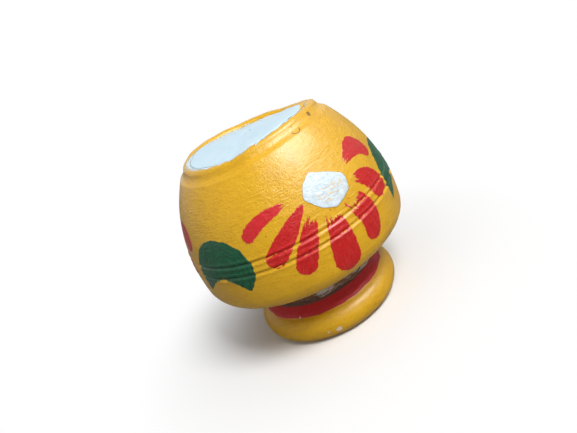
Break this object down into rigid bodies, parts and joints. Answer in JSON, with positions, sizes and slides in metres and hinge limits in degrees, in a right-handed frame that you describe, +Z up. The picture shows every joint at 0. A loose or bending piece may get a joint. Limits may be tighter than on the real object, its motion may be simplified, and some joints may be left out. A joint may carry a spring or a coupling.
{
  "type": "clay oil lamp",
  "caption": "Small hand-thrown clay pot lamp, painted with flowers and glued to a dish-shaped foot, its mouth filled by a lift-out white wax refill with a trimmed cotton wick.",
  "frame": {"origin": "centre of the foot's standing ring, on the surface that the lamp stands on", "axes": "+Z up along the turning axis, -Y towards the middle of the front flower"},
  "size_m": [0.064, 0.064, 0.06],
  "materials": {
    "painted_pot": "glossy hand-brushed yellow paint over red clay, with red and white flowers, green leaves and a white mouth",
    "painted_foot": "glossy hand-brushed yellow paint over red clay, with a red band round the neck",
    "set_glue": "cloudy translucent set glue, glossy and lumpy",
    "white_wax": "smooth opaque wax, a cool white, faintly streaked and thinly smeared on to the lip",
    "cotton": "waxed white cotton, cut level"
  },
  "bodies": {
    "lamp": {"pot": "painted_pot", "foot": "painted_foot", "glue_ring": "set_glue"},
    "refill": {"wax_refill": "white_wax", "wick": "cotton"}
  },
  "joints": [
    {"name": "refill_lift", "type": "slide", "parent": "lamp", "child": "refill", "axis": [0, 0, 1], "range_m": [0, 0.06]}
  ]
}
